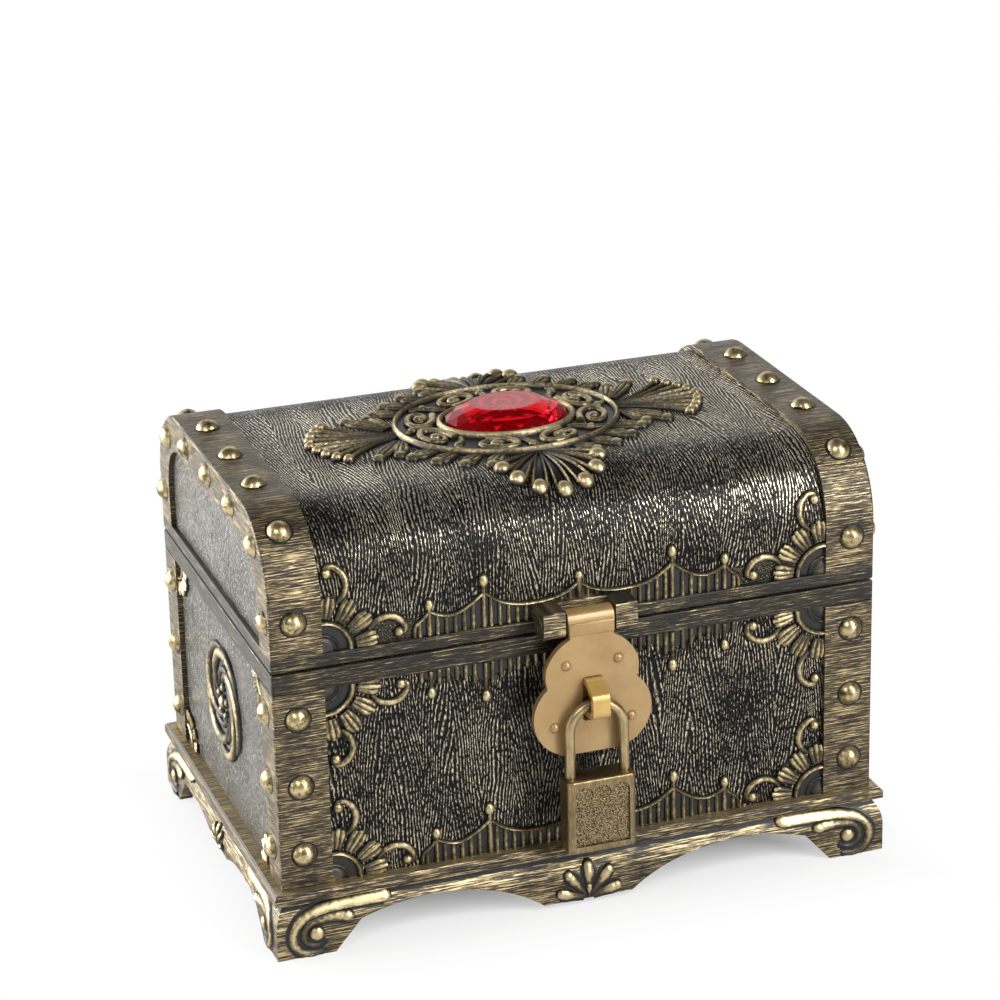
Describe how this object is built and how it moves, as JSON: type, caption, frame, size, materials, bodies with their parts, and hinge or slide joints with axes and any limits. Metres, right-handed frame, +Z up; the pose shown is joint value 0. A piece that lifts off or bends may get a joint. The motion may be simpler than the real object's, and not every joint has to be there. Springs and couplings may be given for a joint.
{
  "type": "treasure chest box",
  "caption": "Small domed keepsake chest with corner bands, raised ornament and a red stone, a hinged lid and hasp, a staple with a padlock, and keys on a ring.",
  "frame": {"origin": "on the table, at the middle of the whole footprint", "axes": "+X along the chest's length, -Y towards the hasp and padlock, +Z up"},
  "size_m": [0.1888, 0.1404, 0.1335],
  "materials": {
    "grained_panel": "moulded plastic with embossed wood grain, black with pale gold dry-brushed on the ridges",
    "antique_gold": "moulded plastic, streaky brushed antique gold over black",
    "relief_gold": "moulded relief, black in the hollows and brighter gold on the ridges",
    "stud_gold": "domed studs, antique gold with dark edges",
    "black_flock": "black flocked lining",
    "tan_hasp": "semi-gloss tan gold lacquer",
    "aged_brass": "antiqued brass, darker in the hollows",
    "hinge_brass": "antiqued brass plated steel",
    "plain_steel": "plain steel",
    "red_gem": "clear red faceted stone"
  },
  "bodies": {
    "base": {"base_shell": "grained_panel", "base_lining": "black_flock", "base_rim": "antique_gold", "corner_band_front_left": "antique_gold", "corner_band_front_right": "antique_gold", "corner_band_rear_left": "antique_gold", "corner_band_rear_right": "antique_gold", "base_studs": "stud_gold", "plinth": "antique_gold", "plinth_screws": "plain_steel", "plinth_scrolls": "relief_gold", "plinth_shells": "relief_gold", "base_corner_fans": "relief_gold", "end_corner_fans": "relief_gold", "base_fringes": "relief_gold", "end_medallion_left": "relief_gold", "end_medallion_right": "relief_gold", "staple": "tan_hasp", "hinge_base_leaf_left": "hinge_brass", "hinge_base_leaf_right": "hinge_brass", "hinge_pin_left": "plain_steel", "hinge_pin_right": "plain_steel", "hinge_base_screws": "plain_steel"},
    "lid": {"lid_shell": "grained_panel", "lid_lining": "black_flock", "lid_rim": "antique_gold", "lid_band_left": "antique_gold", "lid_band_right": "antique_gold", "lid_studs": "stud_gold", "lid_corner_fans": "relief_gold", "lid_fringe": "relief_gold", "rosette": "relief_gold", "rosette_fans": "relief_gold", "gem_bezel": "relief_gold", "gem": "red_gem", "hinge_lid_leaf_left": "hinge_brass", "hinge_lid_leaf_right": "hinge_brass", "hinge_lid_screws": "plain_steel", "hasp_bracket": "antique_gold", "hasp_pin": "plain_steel"},
    "hasp": {"hasp_plate": "tan_hasp", "hasp_rivets": "tan_hasp"},
    "shackle": {"padlock_shackle": "aged_brass"},
    "lock_case": {"padlock_case": "aged_brass", "padlock_spring": "plain_steel"},
    "lock_plug": {"padlock_plug": "aged_brass"},
    "lock_latch": {"padlock_latch": "aged_brass"},
    "key_set": {"key_ring": "aged_brass", "key_one": "aged_brass", "key_two": "aged_brass"}
  },
  "joints": [
    {"name": "lid_hinge", "type": "hinge", "parent": "base", "child": "lid", "pos_m": [0, 0.0672, 0.0857], "axis": [-1, 0, 0], "range_deg": [0, 95]},
    {"name": "hasp_hinge", "type": "hinge", "parent": "lid", "child": "hasp", "pos_m": [0, -0.0597, 0.0907], "axis": [-1, 0, 0], "range_deg": [0, 166]},
    {"name": "padlock_swing", "type": "hinge", "parent": "base", "child": "shackle", "pos_m": [0, -0.0657, 0.06718], "axis": [-1, 0, 0], "range_deg": [0, 85]},
    {"name": "case_drop", "type": "slide", "parent": "shackle", "child": "lock_case", "axis": [0, 0, -1], "range_m": [0, 0.006]},
    {"name": "plug_turn", "type": "hinge", "parent": "lock_case", "child": "lock_plug", "pos_m": [0, -0.0657, 0.02319], "axis": [0, 0, -1], "range_deg": [0, 90]},
    {"name": "latch_slide", "type": "slide", "parent": "lock_case", "child": "lock_latch", "axis": [-1, 0, 0], "range_m": [0, 0.0013]},
    {"name": "key_lift", "type": "slide", "parent": "base", "child": "key_set", "axis": [0, 0, 1], "range_m": [0, 0.07]}
  ],
  "couplings": [
    {"joint": "hasp_hinge", "follows": "lid_hinge", "ratio": 1.74},
    {"joint": "plug_turn", "follows": "case_drop", "rad_per_m": 261.7},
    {"joint": "latch_slide", "follows": "case_drop", "ratio": 0.2165}
  ]
}
